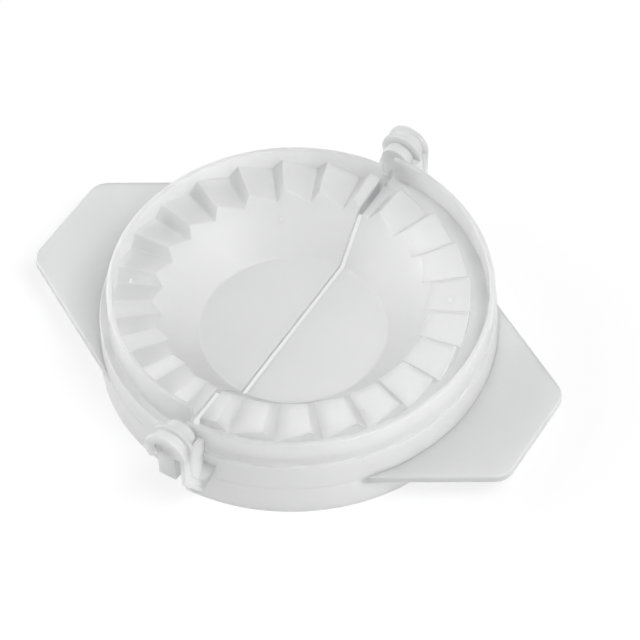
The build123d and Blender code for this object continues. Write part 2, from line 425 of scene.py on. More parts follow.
def floor_mask(b: NodeBuilder, place: bpy.types.NodeSocket) -> bpy.types.NodeSocket:
    """Nodes whose value is 1 on the flat floor of the bowls and 0 elsewhere.

    The value falls from 1 to 0 over the last of the floor's radius and over the first rise of the
    wall, and the two falls are multiplied.

    Args:
        b: builder of the tree.
        place: the object's own coordinates.

    Returns:
        The mask's output.
    """
    parts = b.add("ShaderNodeSeparateXYZ")
    b.join(place, parts.inputs["Vector"])
    level = b.add("ShaderNodeCombineXYZ")
    b.join(parts.outputs["X"], level.inputs["X"])
    b.join(parts.outputs["Y"], level.inputs["Y"])
    radius = b.add("ShaderNodeVectorMath", operation="LENGTH")
    b.join(level.outputs["Vector"], radius.inputs[0])
    mask = b.add("ShaderNodeMath", operation="MULTIPLY")
    limits = ((radius.outputs["Value"], FLOOR_FADE_R), (parts.outputs["Z"], FLOOR_FADE_Z))
    for index, (value, (full, none)) in enumerate(limits):
        fall = b.add("ShaderNodeMapRange")
        fall.inputs["From Min"].default_value = full * MM
        fall.inputs["From Max"].default_value = none * MM
        fall.inputs["To Min"].default_value = 1.0
        fall.inputs["To Max"].default_value = 0.0
        b.join(value, fall.inputs["Value"])
        b.join(fall.outputs["Result"], mask.inputs[index])
    return mask.outputs["Value"]


def moulded_surface_group() -> bpy.types.NodeTree:
    """Node group for the surface of moulded plastic, built once.

    Cloudy noise varies the milkiness, stretched noise gives faint flow marks, and fine noise gives
    the grain. Painted shade darkens the colour on the bowls' flat floor. Out come a colour, a
    roughness and a normal.

    Returns:
        The node group.
    """
    name = "moulded_surface"
    found = bpy.data.node_groups.get(name)
    if found:
        return found
    tree = bpy.data.node_groups.new(name, "ShaderNodeTree")
    sockets = (("Pale", "NodeSocketColor"), ("Milky", "NodeSocketColor"),
               ("Roughness", "NodeSocketFloat"), ("Roughness Spread", "NodeSocketFloat"),
               ("Grain", "NodeSocketFloat"), ("Waviness", "NodeSocketFloat"),
               ("Painted Floor Shade", "NodeSocketFloat"))
    for label, kind in sockets:
        tree.interface.new_socket(name=label, in_out="INPUT", socket_type=kind)
    for label, kind in (("Color", "NodeSocketColor"), ("Roughness", "NodeSocketFloat"),
                        ("Normal", "NodeSocketVector")):
        tree.interface.new_socket(name=label, in_out="OUTPUT", socket_type=kind)
    b = NodeBuilder(tree)
    given, result = b.add("NodeGroupInput"), b.add("NodeGroupOutput")
    place = b.add("ShaderNodeTexCoord").outputs["Object"]
    cloud = b.noise(place, CLOUD_SCALE, 3.0)
    blend = b.add("ShaderNodeMix", data_type="RGBA")
    b.join(b.span(cloud.outputs["Fac"], 0.0, 1.0).outputs["Result"], blend.inputs["Factor"])
    b.join(given.outputs["Pale"], blend.inputs["A"])
    b.join(given.outputs["Milky"], blend.inputs["B"])
    # Painted shade: the colour is multiplied darker on the bowls' flat floor.
    shade = b.add("ShaderNodeMix", data_type="RGBA", blend_type="MULTIPLY")
    b.join(floor_mask(b, place), shade.inputs["Factor"])
    b.join(blend.outputs["Result"], shade.inputs["A"])
    b.join(given.outputs["Painted Floor Shade"], shade.inputs["B"])
    b.join(shade.outputs["Result"], result.inputs["Color"])

    stretch = b.add("ShaderNodeMapping")
    stretch.inputs["Scale"].default_value = FLOW_STRETCH
    b.join(place, stretch.inputs["Vector"])
    flow = b.noise(stretch.outputs["Vector"], FLOW_SCALE, 2.0)
    spread = b.add("ShaderNodeMath", operation="MULTIPLY_ADD")
    centred = b.span(flow.outputs["Fac"], -1.0, 1.0)
    b.join(centred.outputs["Result"], spread.inputs[0])
    b.join(given.outputs["Roughness Spread"], spread.inputs[1])
    b.join(given.outputs["Roughness"], spread.inputs[2])
    b.join(spread.outputs["Value"], result.inputs["Roughness"])

    wave = b.add("ShaderNodeBump")
    wave.inputs["Distance"].default_value = WAVE_HEIGHT
    b.join(flow.outputs["Fac"], wave.inputs["Height"])
    b.join(given.outputs["Waviness"], wave.inputs["Strength"])
    grain = b.add("ShaderNodeBump")
    grain.inputs["Distance"].default_value = GRAIN_HEIGHT
    b.join(b.noise(place, GRAIN_SCALE, 2.0).outputs["Fac"], grain.inputs["Height"])
    b.join(given.outputs["Grain"], grain.inputs["Strength"])
    b.join(wave.outputs["Normal"], grain.inputs["Normal"])
    b.join(grain.outputs["Normal"], result.inputs["Normal"])
    return tree


@dataclass(frozen=True)
class Finish:
    """A finish of the translucent plastic.

    Colours are linear. The pale and milky colours are the two ends of its cloudiness. The
    roughness varies by its spread. Grain and waviness are strengths of bump. The painted floor
    shade multiplies the colour on the flat floor of the bowls: painted shade that darkens it.
    The depth is how far light spreads under the surface, in metres, and stays below the
    thickness of a thin piece.
    """

    name: str
    pale: tuple[float, float, float]
    milky: tuple[float, float, float]
    roughness: float
    spread: float
    grain: float
    waviness: float
    transmission: float
    painted_floor_shade: float = 1.0
    ior: float = 1.49
    depth: float = 0.003

    def material(self) -> bpy.types.Material:
        """The finish as a material, made the first time it is asked for.

        Returns:
            The material.
        """
        found = bpy.data.materials.get(self.name)
        if found:
            return found
        material = bpy.data.materials.new(self.name)
        material.use_nodes = True
        b = NodeBuilder(material.node_tree)
        shader = material.node_tree.nodes["Principled BSDF"]
        shader.inputs["Transmission Weight"].default_value = self.transmission
        shader.inputs["IOR"].default_value = self.ior
        shader.inputs["Subsurface Weight"].default_value = 1.0
        shader.inputs["Subsurface Radius"].default_value = (1.0, 1.0, 1.0)
        shader.inputs["Subsurface Scale"].default_value = self.depth
        group = b.add("ShaderNodeGroup", node_tree=moulded_surface_group())
        values = {"Pale": (*self.pale, 1), "Milky": (*self.milky, 1),
                  "Roughness": self.roughness, "Roughness Spread": self.spread,
                  "Grain": self.grain, "Waviness": self.waviness,
                  "Painted Floor Shade": self.painted_floor_shade}
        for label, value in values.items():
            group.inputs[label].default_value = value
        b.join(group.outputs["Color"], shader.inputs["Base Color"])
        b.join(group.outputs["Roughness"], shader.inputs["Roughness"])
        b.join(group.outputs["Normal"], shader.inputs["Normal"])
        return material


# The bowls' flat floor is painted 7 % darker as painted shade, though it is the walls' same plastic.
MOULD_FACE = Finish("clear_polypropylene_polished", (0.950, 0.953, 0.953), (0.930, 0.933, 0.933),
                    0.32, 0.04, 0.15, 0.03, 0.45, painted_floor_shade=0.93)
# The grips are the bowls' plastic painted darker, as painted shade on the handle plates, with a satin
# roughness.
SHADED_GRIP_FACE = Finish("clear_polypropylene_satin_painted_shade", (0.800, 0.803, 0.803), (0.770, 0.773, 0.773),
                   0.38, 0.04, 0.25, 0.04, 0.45)
KNUCKLE_FACE = Finish("clear_polypropylene_smooth", (0.950, 0.953, 0.953), (0.930, 0.933, 0.933),
                      0.36, 0.04, 0.20, 0.04, 0.40)
MARK_FACE = Finish("clear_polypropylene_mark", (0.840, 0.843, 0.843), (0.780, 0.783, 0.783),
                   0.50, 0.06, 0.35, 0.04, 0.05, depth=0.0001)


# ---- the two half shells --------------------------------------------------------------------
@dataclass
class Bowl:
    """Sizes shared by the bowls and toothed rings of both halves, in millimetres and degrees."""

    wall: float = 1.2
    split: float = 0.6
    floor_z: float = 5.8
    floor_r: float = 20.301
    slope: float = 1.234
    seat_z: float = 15.3
    tooth_end_r: float = 37.8
    peak_rise: float = 2.8
    pitch: float = 15.0
    steep: float = 3.5
    phase: float = 7.0

    @property
    def drop(self) -> float:
        """Thickness of the sloping wall, measured straight down."""
        return self.wall * math.hypot(1, self.slope)

    def creases(self, half: Half) -> tuple[np.ndarray, np.ndarray]:
        """Azimuths of the tooth creases in degrees, in order, and their rise for each millimetre.

        Args:
            half: which half.

        Returns:
            The azimuths and the rises.
        """
        step = np.arange(-20, 21) * self.pitch + self.phase
        zero, top = np.zeros_like(step), np.full_like(step, self.peak_rise / self.tooth_end_r)
        if half is Half.HOOK:
            azimuth, rise = np.concatenate([step, step + self.steep]), np.concatenate([top, zero])
        else:
            azimuth = np.concatenate([180 - step, 180 - step - self.steep])
            rise = np.concatenate([zero, top])
        order = np.argsort(azimuth)
        return azimuth[order], rise[order]

    def rise(self, azimuth: np.ndarray, half: Half) -> np.ndarray:
        """Height of the toothed surface above the seat, for each millimetre of radius.

        Between a crease at p and the next at q, a flat facet through the point on the Z axis at
        seat height rises as (h_p sin(q - a) + h_q sin(a - p)) / sin(q - p) at azimuth a. The mean
        over a small window rounds the creases.

        Args:
            azimuth: azimuths in degrees.
            half: which half.

        Returns:
            The rises, as many as the azimuths.
        """
        creases, rises = self.creases(half)
        window = np.linspace(-CREASE_ROUND, CREASE_ROUND, CREASE_SAMPLES)
        samples = azimuth[:, None] + window[None, :]
        index = np.clip(np.searchsorted(creases, samples) - 1, 0, len(creases) - 2)
        p, q = np.radians(creases[index]), np.radians(creases[index + 1])
        a = np.radians(samples)
        facet = (rises[index] * np.sin(q - a) + rises[index + 1] * np.sin(a - p)) / np.sin(q - p)
        return facet.mean(axis=1)


@dataclass
class Shell:
    """One half's walls, rings and bowl as a single closed surface.

    The section is a closed loop in radius and height: out along the bowl, the teeth and the top
    edge, down the skirt and back along the underside.
    """

    half: Half
    bowl: Bowl = field(default_factory=Bowl)

    def azimuths(self) -> np.ndarray:
        """Azimuths of the plain columns: even steps, and a cluster on each crease.

        Returns:
            The azimuths in degrees, in order.
        """
        middle = 0.0 if self.half is Half.HOOK else 180.0
        even = np.linspace(-LAST_COLUMN, LAST_COLUMN, EVEN_COLUMNS) + middle
        creases, _ = self.bowl.creases(self.half)
        cluster = np.array([-1.0, -0.5, 0.0, 0.5, 1.0]) * CREASE_ROUND
        near = (creases[:, None] + cluster[None, :]).ravel()
        near = near[np.abs(near - middle) < LAST_COLUMN]
        clear = np.abs(even[:, None] - near[None, :]).min(axis=1) > COLUMN_GAP
        clear[[0, -1]] = True
        return np.sort(np.concatenate([even[clear], near]))

    def section(self, rise: np.ndarray) -> tuple[np.ndarray, np.ndarray]:
        """Corners of the section at each column, and their rounding radii.

        The teeth meet the bowl's wall where seat + rise * r = floor + slope * (r - floor radius),
        and their undersides meet where the same holds for the two surfaces moved down.

        Args:
            rise: the toothed surface's rise at each column.

        Returns:
            Corners (columns, corners, 2) and radii (corners).
        """
        b = self.bowl
        foot = b.seat_z - b.floor_z + b.slope * b.floor_r
        inner_r = foot / (b.slope - rise)
        under_r = (foot - b.wall + b.drop) / (b.slope - rise)
        corner_r = b.floor_r + (b.drop - b.wall) / b.slope
        low = b.floor_z - b.wall
        bowl_top = [(b.floor_r, b.floor_z, 0.9), (inner_r, b.seat_z + rise * inner_r, 0.25)]
        bowl_under = [(under_r, b.seat_z - b.wall + rise * under_r, 0.2), (corner_r, low, 0.6)]
        rows = bowl_top + self.outer_corners(rise) + bowl_under
        ones = np.ones_like(rise)
        corners = np.stack([np.stack([r * ones, z * ones], axis=-1) for r, z, _ in rows], axis=1)
        return corners, np.array([radius for _, _, radius in rows])

    def outer_corners(self, rise: np.ndarray) -> list:
        """Corners (radius, height, rounding) from the teeth round the rim and skirt and back."""
        raise NotImplementedError

    def chain(self, rise: np.ndarray) -> np.ndarray:
        """Rounded section without the floor, from the floor's top out and back.

        Args:
            rise: the toothed surface's rise at each column.

        Returns:
            Points (columns, points, 2) in radius and height.
        """
        corners, radii = self.section(rise)
        inward = np.array([-FLOOR_RUN, 0.0])
        start, end = corners[:, :1] + inward, corners[:, -1:] + inward
        loop = np.concatenate([start, corners, end], axis=1)
        padded = np.concatenate([[0.0], radii, [0.0]])
        points = rounded_loop(loop, padded, ARC_STEPS)
        return points[:, ARC_STEPS + 1:-(ARC_STEPS + 1)]

    def surface(self) -> tuple[np.ndarray, list]:
        """The half's closed surface.

        A plain column stands at one azimuth. At each end the last columns lie in planes that close
        in on the cut, and the section shrinks along its inward normals, which rounds the cut's
        edge. The floor's strip of each column runs straight to the cut.

        Returns:
            Points (points, 3) in millimetres and the faces.
        """
        sign = self.half.value
        azimuth = self.azimuths()
        plain = self.chain(self.bowl.rise(azimuth, self.half))
        turn = np.radians(azimuth)[:, None]
        walls = np.stack([plain[..., 0] * np.cos(turn), plain[..., 0] * np.sin(turn),
                          plain[..., 1]], axis=-1)
        ends = [self.end_walls(side) for side in (-1, 1)]
        first, last = (ends[0], ends[1]) if sign > 0 else (ends[1], ends[0])
        walls = np.concatenate([first[::-1], walls, last])
        end_turn = quarter(ARC_STEPS)
        column_turn = np.concatenate([end_turn[::-1], np.zeros(len(azimuth)), end_turn])
        floor = self.floor_strip(walls, column_turn)
        loops = np.concatenate([walls, floor], axis=1)
        return lofted(loops)

    def end_walls(self, side: int) -> np.ndarray:
        """Walls in the closing planes of one end, from the full section to the smallest.

        Args:
            side: the sign of y at this end.

        Returns:
            Points (planes, points, 3).
        """
        b, sign = self.bowl, self.half.value
        middle_r = 0.5 * (b.floor_r + b.tooth_end_r)
        lean = math.degrees(math.acos(b.split / middle_r))
        azimuth = side * lean if sign > 0 else 180 - side * lean
        section = self.chain(self.bowl.rise(np.array([azimuth]), self.half))[0]
        run = np.array([-FLOOR_RUN, 0.0])
        extended = np.concatenate([section[:1] + run, section, section[-1:] + run])
        along = unit(extended[1:-1] - extended[:-2]) + unit(extended[2:] - extended[1:-1])
        along = unit(along)
        inward = np.stack([along[:, 1], -along[:, 0]], axis=-1)
        turn = quarter(ARC_STEPS)
        inset = CUT_EDGE * (1 - np.cos(turn))
        x = b.split + CUT_EDGE * (1 - np.sin(turn))
        shrunk = section[None] + inward[None] * inset[:, None, None]
        y = side * np.sqrt(shrunk[..., 0] ** 2 - x[:, None] ** 2)
        return np.stack([np.broadcast_to(sign * x[:, None], y.shape), y, shrunk[..., 1]], axis=-1)

    def floor_strip(self, walls: np.ndarray, column_turn: np.ndarray) -> np.ndarray:
        """Points that carry each column from the underside back to its start along the cut.

        The cut's edge turns from the bottom face to the cut and on to the top face by the same
        quarter arcs as the end planes. In an end plane the arc's first part has already turned, so
        the arc's angle is never less than the plane's own.

        Args:
            walls: wall points (columns, points, 3).
            column_turn: how far each column's plane has turned, in radians.

        Returns:
            Points (columns, points, 3).
        """
        b, sign = self.bowl, self.half.value
        turn = np.maximum(quarter(ARC_STEPS)[None, :], column_turn[:, None])
        x = sign * (b.split + CUT_EDGE * (1 - np.sin(turn)))
        inset = CUT_EDGE * (1 - np.cos(turn))
        low_y = np.broadcast_to(walls[:, -1:, 1], x.shape)
        top_y = np.broadcast_to(walls[:, :1, 1], x.shape)
        bottom = np.stack([x, low_y, b.floor_z - b.wall + inset], axis=-1)
        top = np.stack([x, top_y, b.floor_z - inset], axis=-1)[:, ::-1]
        return np.concatenate([bottom, top], axis=1)


@dataclass
class HookShell(Shell):
    """Shell of the hook half, with its seat ring, raised lip and stepped skirt."""

    lip_r: float = 43.0
    lip_z: float = 20.7
    step_z: float = 14.0
    step: float = 0.6
    base_r: float = 44.5
    line_z: float = 7.6

    def outer_corners(self, rise: np.ndarray) -> list:
        """Corners from the ends of the teeth round the lip and skirt and back to the teeth.

        Args:
            rise: the toothed surface's rise at each column.

        Returns:
            Corners (radius, height, rounding), each a number or an array over the columns.
        """
        b = self.bowl
        lip_in = self.lip_r - b.wall
        low = b.seat_z - b.wall
        step_r = self.lip_r + self.step
        lean = (self.base_r - step_r) / self.step_z
        under_z = self.step_z - b.wall
        under_r = self.base_r - lean * under_z - b.wall
        line_r = self.base_r - lean * self.line_z
        end_in = b.tooth_end_r - b.wall
        return [
            (b.tooth_end_r, b.seat_z + rise * b.tooth_end_r, 0.22),
            (b.tooth_end_r, b.seat_z, 0.2),
            (lip_in, b.seat_z, 0.35),
            (lip_in, self.lip_z, 0.4),
            (self.lip_r, self.lip_z, 0.4),
            (self.lip_r, self.step_z, 0.15),
            (step_r, self.step_z, 0.2),
            (line_r, self.line_z, 0.05),
            (line_r + LINE_LEDGE[0], self.line_z - LINE_LEDGE[1], 0.05),
            (self.base_r, 0.0, 0.3),
            (self.base_r - b.wall, 0.0, 0.3),
            (under_r, under_z, 0.4),
            (lip_in, under_z, 0.2),
            (lip_in, low, 0.3),
            (end_in, low, 0.2),
            (end_in, low + rise * end_in, 0.2),
        ]


@dataclass
class PinShell(Shell):
    """Shell of the pin half, with its rim and stepped skirt."""

    rim_r: float = 39.3
    rim_z: float = 21.0
    step_z: float = 13.2
    step: float = 1.9
    base_r: float = 41.8
    line_z: float = 7.6

    def outer_corners(self, rise: np.ndarray) -> list:
        """Corners from the ends of the teeth round the rim and skirt and back to the teeth.

        Args:
            rise: the toothed surface's rise at each column.

        Returns:
            Corners (radius, height, rounding), each a number or an array over the columns.
        """
        b = self.bowl
        rim_in = self.rim_r - b.wall
        step_r = self.rim_r + self.step
        lean = (self.base_r - step_r) / self.step_z
        under_z = self.step_z - b.wall
        under_r = self.base_r - lean * under_z - b.wall
        line_r = self.base_r - lean * self.line_z
        return [
            (rim_in, b.seat_z + rise * rim_in, 0.3),
            (rim_in, self.rim_z, 0.4),
            (self.rim_r, self.rim_z, 0.4),
            (self.rim_r, self.step_z, 0.3),
            (step_r, self.step_z, 0.25),
            (line_r, self.line_z, 0.05),
            (line_r + LINE_LEDGE[0], self.line_z - LINE_LEDGE[1], 0.05),
            (self.base_r, 0.0, 0.3),
            (self.base_r - b.wall, 0.0, 0.3),
            (under_r, under_z, 0.4),
            (rim_in, under_z, 0.2),
            (rim_in, b.seat_z - b.wall + rise * rim_in, 0.3),
        ]


# ---- handles --------------------------------------------------------------------------------
@dataclass
class Handle:
    """Flat grip plate of one half, in millimetres."""

    half: Half
    end_x: float = 59.3
    width: float = 25.4
    corner: float = 5.0
    top_z: float = 7.6
    thick: float = 2.0
    edge: float = 0.45
    fade: float = 6.0
    root_sink: float = 0.35
    touch_gap: float = 0.1
    pin_skirt_r: float = 41.3545
    hook_skirt_r: float = 44.01

    def outline(self) -> tuple[np.ndarray, np.ndarray]:
        """Outline of the plate for the +X side, anticlockwise, and each point's share of rounding.

        Both plates have the side lines that run in to touch the pin half's skirt. The outline
        follows those lines out from the skirt, a quarter arc round each corner, and the skirt's
        own circle back along the root.

        The rounding fades out towards the root, where the side lines run into the skirt.

        Returns:
            Outline points (points, 2) and shares (points).
        """
        corner_y = self.width / 2
        reach = math.hypot(self.end_x, corner_y)
        touch_r = self.pin_skirt_r - self.touch_gap
        azimuth = math.atan2(corner_y, self.end_x) + math.acos(touch_r / reach)
        touch = touch_r * np.array([math.cos(azimuth), math.sin(azimuth)])
        tip = np.array([self.end_x, corner_y])
        along = (tip - touch) / np.linalg.norm(tip - touch)
        root_r = self.hook_skirt_r if self.half is Half.HOOK else self.pin_skirt_r
        root_r -= self.root_sink
        back = touch @ along
        run = -back + math.sqrt(max(back ** 2 - touch @ touch + root_r ** 2, 0.0))
        start = touch + along * run
        root_angle = math.atan2(start[1], start[0])
        cut = self.corner * math.tan(math.acos(-along[1]) / 2)
        first, last = tip - along * cut, tip - np.array([0.0, cut])
        t = np.linspace(0, 1, 13)[:, None]
        blend = (1 - t) ** 2 * first + 2 * t * (1 - t) * tip + t ** 2 * last
        side = start + (first - start) * np.linspace(0, 1, 24, endpoint=False)[:, None]
        upper = np.concatenate([side, blend])
        angles = np.linspace(root_angle, -root_angle, 60)[1:-1]
        root = root_r * np.stack([np.cos(angles), np.sin(angles)], axis=-1)
        share = np.clip(np.linalg.norm(upper - start, axis=1) / self.fade, 0, 1)
        return (np.concatenate([upper * [1, -1], upper[::-1], root]),
                np.concatenate([share, share[::-1], np.zeros(len(root))]))

    def build(self) -> bpy.types.Object:
        """Make the plate and set it on its half.

        Returns:
            The finished piece.
        """
        outline, share = self.outline()
        rings = slab(outline, self.top_z - self.thick, self.top_z, self.edge, 4, share)
        rings[..., 0] *= self.half.value
        name = f"{self.half.body}_handle"
        # The plate's finish carries painted shade that darkens it.
        piece = make_piece(f"{name}_plate", *lofted(rings), SHADED_GRIP_FACE)
        return settle(piece, self.half.body, name)


def settle(piece: bpy.types.Object, body: str, *nodes: str) -> bpy.types.Object:
    """Ride a finished piece on its body and the nodes it stands for.

    Args:
        piece: the finished piece.
        body: the CAD body it moves with.
        nodes: the CAD nodes that it replaces.

    Returns:
        The piece.
    """
    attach(piece, body)
    if nodes:
        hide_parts(*nodes)
    faces = len(piece.data.polygons)
    log.info("%s: %d faces on %s, for %s", piece.name, faces, body, ", ".join(nodes) or "nothing")
    return piece


# ---- knuckles -------------------------------------------------------------------------------
@dataclass
class Knuckle:
    """The lug, pin, arm and hook at one end of the hinge line, in millimetres."""

    end: End
    axis_z: float = 18.3
    pin_r: float = 2.6
    bore_r: float = 2.66
    hook_r: float = 4.0
    rib_r: float = 4.9
    rib_thick: float = 1.0
    hook_sweep: float = 222.0
    hook_sink: float = 4.5
    hook_round: float = 0.22
    hook_edge: float = 0.2
    hook_steps: int = 80
    lug_y: float = 43.3
    pin_y: float = 45.9
    hook_y: float = 46.2
    end_y: float = 50.0
    pin_inset: float = 0.5
    pin_edge: float = 0.35
    pin_sink: float = 0.05
    pin_shoulder: float = 0.4
    pin_dimple: tuple[tuple[float, float], ...] = ((1.3, 0.0), (1.15, 0.12), (0.9, 0.18))
    lug_r: float = 3.4
    lug_reach: float = 4.9
    lug_foot_z: float = 4.0
    lug_top_z: float = 12.5
    lug_root_y: float = 40.55
    lug_edge: float = 0.3
    lug_gap: float = 0.35
    split: float = 0.6
    arm_x: float = 3.7
    arm_foot_z: float = 2.0
    arm_heel_z: float = 10.4
    gusset_top_z: float = 12.5
    gusset_width: float = 3.3
    gusset_depth: float = 1.5
    gusset_fade: float = 0.25
    ledge_half: float = 0.15
    groove_side: float = 0.15
    gusset_foot: float = 0.02
    groove_clear: tuple[float, float] = (0.3, 0.2)
    arm_sink: float = 0.05
    arm_steps: int = 40
    arm_rounds: tuple[float, ...] = (0, 0.25, 0.25, 0.15, 0.15, 0.15, 0.15, 0.3, 0, 0, 0)
    root_sink: float = 0.35
    groove_far: float = 2.8
    groove_depths: tuple[float, float] = (0.2, 0.8)
    base_r: float = 44.5
    lip_r: float = 43.0
    step_r: float = 43.6
    step_z: float = 14.0

    def place(self, across: np.ndarray, along: np.ndarray, height: np.ndarray) -> np.ndarray:
        """Points from their x, their distance along the hinge line, and their z."""
        return np.stack([across, self.end.value * along, height], axis=-1)

    def fit(self, node: str, word: str, surface: tuple[np.ndarray, list],
            half: Half) -> bpy.types.Object:
        """Make one piece of the knuckle and set it on its half.

        Args:
            node: the end of the CAD node's name.
            word: what the piece's own name adds to it.
            surface: its points and faces.
            half: which half it rides on.

        Returns:
            The finished piece.
        """
        name = f"{self.end.label}_{node}"
        return settle(make_piece(f"{name}_{word}", *surface, KNUCKLE_FACE), half.body, name)

    def arc(self, radius: float, start: float, stop: float, count: int) -> np.ndarray:
        """Points (count, 2) in x and z on an arc round the hinge axis, by angles in degrees."""
        angle = np.radians(np.linspace(start, stop, count))
        return np.stack([radius * np.cos(angle), self.axis_z + radius * np.sin(angle)], axis=-1)

    def pin(self) -> bpy.types.Object:
        """Turned pin: a profile of radius and depth spun round the hinge axis.

        Returns:
            The finished piece.
        """
        tip = self.end_y - self.pin_inset
        turn = quarter(4)
        dimple_r, dimple_depth = np.array(self.pin_dimple).T
        radius = np.concatenate([[self.pin_r, self.pin_r],
                                 self.pin_r - self.pin_edge * (1 - np.cos(turn)), dimple_r])
        depth = np.concatenate([[self.pin_y - self.pin_sink, self.pin_y + self.pin_shoulder],
                                tip - self.pin_edge * (1 - np.sin(turn)), tip - dimple_depth])
        angle = np.linspace(0, 2 * math.pi, 72, endpoint=False)[None, :]
        across = radius[:, None] * np.cos(angle)
        height = self.axis_z + radius[:, None] * np.sin(angle)
        along = np.broadcast_to(depth[:, None], across.shape)
        return self.fit("pin", "turned", lofted(self.place(across, along, height)), Half.PIN)

    def lug(self) -> bpy.types.Object:
        """Lug with its rounded eye, and the foot that joins it to the skirt, as one surface.

        The outline starts at the foot's top on the split side, runs up round the eye and down the
        slope to the foot's top again, and comes back round the foot. The foot is that last stretch
        carried in to the skirt. The plate's inner face is closed above the foot only.

        Returns:
            The finished piece.
        """
        top = (-self.lug_reach, self.lug_top_z)
        path = np.concatenate([
            [(-self.split, self.lug_top_z)],
            [(-self.split, self.axis_z - math.sqrt(self.lug_r ** 2 - self.split ** 2))],
            self.arc(self.lug_r, -80, 0, 12)[:-1], self.arc(self.lug_r, 0, 180, 28), [top],
            [(-self.lug_reach, self.lug_foot_z), (-self.split, self.lug_foot_z)]])
        path = spaced(path, self.lug_gap)
        count = len(path)
        turn = int(np.argmin(np.linalg.norm(path - top, axis=1)))
        number = np.arange(count)
        share = ((number > 0) & (number < turn)).astype(float)
        span = (self.lug_y, self.pin_y, self.lug_edge, ARC_STEPS)
        inner, outer = slab(path, *span, share)[:ARC_STEPS + 1], slab(path, *span)[ARC_STEPS + 1:]
        rings = np.concatenate([inner, outer])
        points = self.place(rings[..., 0], rings[..., 2], rings[..., 1]).reshape(-1, 3)
        faces = grid_faces(len(rings), count, True).tolist()
        faces.append(list(range((len(rings) - 1) * count, len(rings) * count)))
        faces.append(list(range(turn, -1, -1)))
        foot = np.append(np.arange(turn, count), 0)
        level = np.full(len(foot), self.lug_root_y)
        root = self.place(path[foot, 0], level, path[foot, 1])
        size = len(foot)
        carried = np.arange(size) + len(points)
        following = np.roll(np.arange(size), -1)
        faces += np.stack([carried, carried[following], foot[following], foot], axis=-1).tolist()
        faces.append(carried[::-1].tolist())
        return self.fit("lug", "plate", (np.concatenate([points, root]), faces), Half.PIN)

    def hook(self) -> bpy.types.Object:
        """Ribbed hook: its cross-section in radius and depth swept round the hinge axis.

        Returns:
            The finished piece.
        """
        rib = self.rib_thick
        section = np.array([[(self.bore_r, self.hook_y), (self.rib_r, self.hook_y),
                             (self.rib_r, self.hook_y + rib), (self.hook_r, self.hook_y + rib),
                             (self.hook_r, self.end_y - rib), (self.rib_r, self.end_y - rib),
                             (self.rib_r, self.end_y), (self.bore_r, self.end_y)]])
        loop = rounded_loop(section, np.full(section.shape[1], self.hook_round), ARC_STEPS)[0]
        inward = -loop_normals(loop)
        turn = quarter(ARC_STEPS)
        sweep = np.radians(np.linspace(-self.hook_sink, self.hook_sweep, self.hook_steps))
        tail = sweep[-1] - self.hook_edge * (1 - np.sin(turn)) / self.hook_r
        angle = np.concatenate([sweep[:-1], tail])
        inset = np.concatenate([np.zeros(len(sweep) - 1), self.hook_edge * (1 - np.cos(turn))])
        rings = loop[None] + inward[None] * inset[:, None, None]
        across = rings[..., 0] * np.cos(angle)[:, None]
        height = self.axis_z + rings[..., 0] * np.sin(angle)[:, None]
        points = self.place(across, rings[..., 1], height)
        return self.fit("hook", "ribbed", lofted(points), Half.HOOK)

    def arm(self) -> bpy.types.Object:
        """Arm and gusset as one surface through a stack of level sections.

        Each section runs from the skirt out along the arm's inner side, back along its ribbed
        outer side, and down the gusset's slope to the skirt. Its corners are straight-line
        functions of height between the arm's foot, heel and top.

        Returns:
            The finished piece.
        """
        span = (self.arm_foot_z, self.axis_z)
        marks = [self.arm_foot_z, self.gusset_mid_z, self.arm_heel_z, self.gusset_top_z,
                 self.gusset_top_z + self.gusset_fade, self.step_z - self.ledge_half,
                 self.step_z + self.ledge_half]
        z = np.unique(np.concatenate([np.linspace(*span, self.arm_steps), marks]))
        out_y = np.interp(z, [self.arm_foot_z, self.arm_heel_z],
                          [self.base_r + self.arm_sink, self.end_y])
        wall_r = np.interp(z, [0, self.step_z - self.ledge_half, self.step_z + self.ledge_half],
                           [self.base_r, self.step_r, self.lip_r])
        gusset_z = [self.arm_foot_z, self.gusset_top_z, self.gusset_top_z + self.gusset_fade]
        reach = np.interp(z, gusset_z, [self.gusset_foot, self.gusset_width, 0.0])
        edge_y = np.interp(z, [self.arm_foot_z, self.gusset_mid_z, self.gusset_top_z],
                           [self.base_r, self.base_r + self.gusset_depth, self.lip_r])
        skin = self.skin_y(wall_r, self.rib_r)
        root = skin - self.root_sink
        groove = np.interp(z, span, self.groove_depths)
        near = np.clip(out_y - self.groove_far, skin + self.groove_clear[0], None)
        far = np.clip(out_y - self.rib_thick, near + self.groove_clear[1], None)
        slope_y = np.clip(edge_y, skin, near)
        inner_x, outer_x = np.full_like(z, self.arm_x), np.full_like(z, self.rib_r)
        sections = np.stack([np.stack(corner, axis=-1) for corner in (
            (inner_x, root), (inner_x, out_y), (outer_x, out_y), (outer_x, far),
            (outer_x - groove, far - self.groove_side),
            (outer_x - groove, near + self.groove_side), (outer_x, near),
            (outer_x, slope_y), (outer_x + reach, self.skin_y(wall_r, self.rib_r + reach)),
            (outer_x + reach, self.skin_y(wall_r, self.rib_r + reach) - self.root_sink),
            (outer_x, root))], axis=1)
        loops = rounded_loop(sections, np.array(self.arm_rounds, dtype=float), ARC_STEPS)
        level = np.broadcast_to(z[:, None], loops.shape[:2])
        points = self.place(loops[..., 0], loops[..., 1], level)
        return self.fit("arm", "plate", lofted(points), Half.HOOK)

    @property
    def gusset_mid_z(self) -> float:
        """Height at which the gusset stands out furthest along the arm."""
        return (self.arm_foot_z + self.gusset_top_z) / 2

    def skin_y(self, radius: np.ndarray, across: np.ndarray | float) -> np.ndarray:
        """Depth of a wall of some radius at a distance across the hinge line."""
        return np.sqrt(radius ** 2 - np.square(across))

    def build(self) -> None:
        """Make all four pieces of this end."""
        self.pin()
        self.lug()
        self.hook()
        self.arm()
